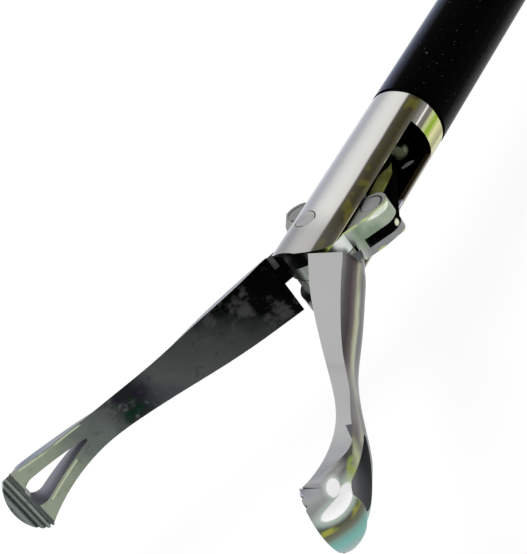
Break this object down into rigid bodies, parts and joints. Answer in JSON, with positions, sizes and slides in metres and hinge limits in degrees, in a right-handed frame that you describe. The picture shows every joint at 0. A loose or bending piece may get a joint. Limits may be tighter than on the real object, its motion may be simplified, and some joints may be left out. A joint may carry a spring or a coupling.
{
  "type": "laparoscopic grasper",
  "caption": "Laparoscopic grasper with double-action fenestrated jaws, insulated rotating shaft and ring handle with ratchet.",
  "frame": {"origin": "on the shaft axis at the tip end of the black insulation, where the steel clevis begins", "axes": "+X along the shaft to the jaws, +Z along the jaw pivot pin, the finger rings hang towards -Y"},
  "size_m": [0.5164, 0.1478, 0.0274],
  "materials": {
    "insulation": "satin black insulation",
    "polished_steel": "polished stainless steel",
    "satin_steel": "satin stainless steel",
    "black_polymer": "fine moulded grain",
    "grey_polymer": "fine moulded grain",
    "white_polymer": "waxy fluoropolymer",
    "silicone": "soft silicone"
  },
  "bodies": {
    "handle": {"fixed_handle": "black_polymer", "front_socket": "satin_steel", "socket_cap": "satin_steel", "hf_pin": "polished_steel", "pivot_screw": "satin_steel", "pivot_nut": "satin_steel", "release_pin": "satin_steel"},
    "shaft": {"jaw_clevis": "polished_steel", "pivot_pin": "polished_steel", "rod_guides": "white_polymer", "rod_seal": "silicone", "outer_tube": "satin_steel", "insulation_sheath": "insulation", "rotation_knob": "grey_polymer", "knob_screw": "satin_steel", "port_stem": "satin_steel", "flush_port": "satin_steel", "shaft_hub": "satin_steel"},
    "rod": {"rod_tang": "satin_steel", "tang_pin": "satin_steel", "push_rod": "satin_steel", "rod_ball": "polished_steel"},
    "jaw_right_body": {"jaw_right": "polished_steel", "tail_pin_right": "satin_steel"},
    "jaw_left_body": {"jaw_left": "polished_steel", "tail_pin_left": "satin_steel"},
    "link_right_body": {"link_right": "satin_steel"},
    "link_left_body": {"link_left": "satin_steel"},
    "lever": {"thumb_lever": "black_polymer", "pivot_bush": "satin_steel", "ratchet_rack": "satin_steel", "rack_pins": "satin_steel"},
    "release": {"release_lever": "satin_steel"}
  },
  "joints": [
    {"name": "thumb_lever_hinge", "type": "hinge", "parent": "handle", "child": "lever", "pos_m": [-0.384, -0.00984, 0], "axis": [0, 0, 1], "range_deg": [-2.7, 20.7]},
    {"name": "shaft_rotation", "type": "hinge", "parent": "handle", "child": "shaft", "pos_m": [-0.35, 0, 0], "axis": [1, 0, 0], "continuous": true},
    {"name": "rod_slide", "type": "slide", "parent": "shaft", "child": "rod", "axis": [-1, 0, 0], "range_m": [-0.00048, 0.00361]},
    {"name": "jaw_left_hinge", "type": "hinge", "parent": "shaft", "child": "jaw_left_body", "pos_m": [0.0233, 0, 0], "axis": [0, 0, 1], "range_deg": [-4.07, 30.81]},
    {"name": "jaw_right_hinge", "type": "hinge", "parent": "shaft", "child": "jaw_right_body", "pos_m": [0.0233, 0, 0], "axis": [0, 0, -1], "range_deg": [-3.92, 29.71]},
    {"name": "link_left_hinge", "type": "hinge", "parent": "jaw_left_body", "child": "link_left_body", "pos_m": [0.01889, 0.00581, 0], "axis": [0, 0, -1], "range_deg": [-6.24, 47.47]},
    {"name": "link_right_hinge", "type": "hinge", "parent": "jaw_right_body", "child": "link_right_body", "pos_m": [0.01878, -0.00573, 0], "axis": [0, 0, 1], "range_deg": [-6.08, 46.28]},
    {"name": "ratchet_release", "type": "hinge", "parent": "handle", "child": "release", "pos_m": [-0.35448, -0.04403, 0], "axis": [0, 0, -1], "range_deg": [0, 7.2]}
  ],
  "couplings": [
    {"joint": "rod_slide", "follows": "thumb_lever_hinge", "m_per_rad": 0.0099737},
    {"joint": "jaw_left_hinge", "follows": "thumb_lever_hinge", "ratio": 1.4879},
    {"joint": "jaw_right_hinge", "follows": "thumb_lever_hinge", "ratio": 1.4348},
    {"joint": "link_left_hinge", "follows": "thumb_lever_hinge", "ratio": 2.2906},
    {"joint": "link_right_hinge", "follows": "thumb_lever_hinge", "ratio": 2.2331}
  ]
}
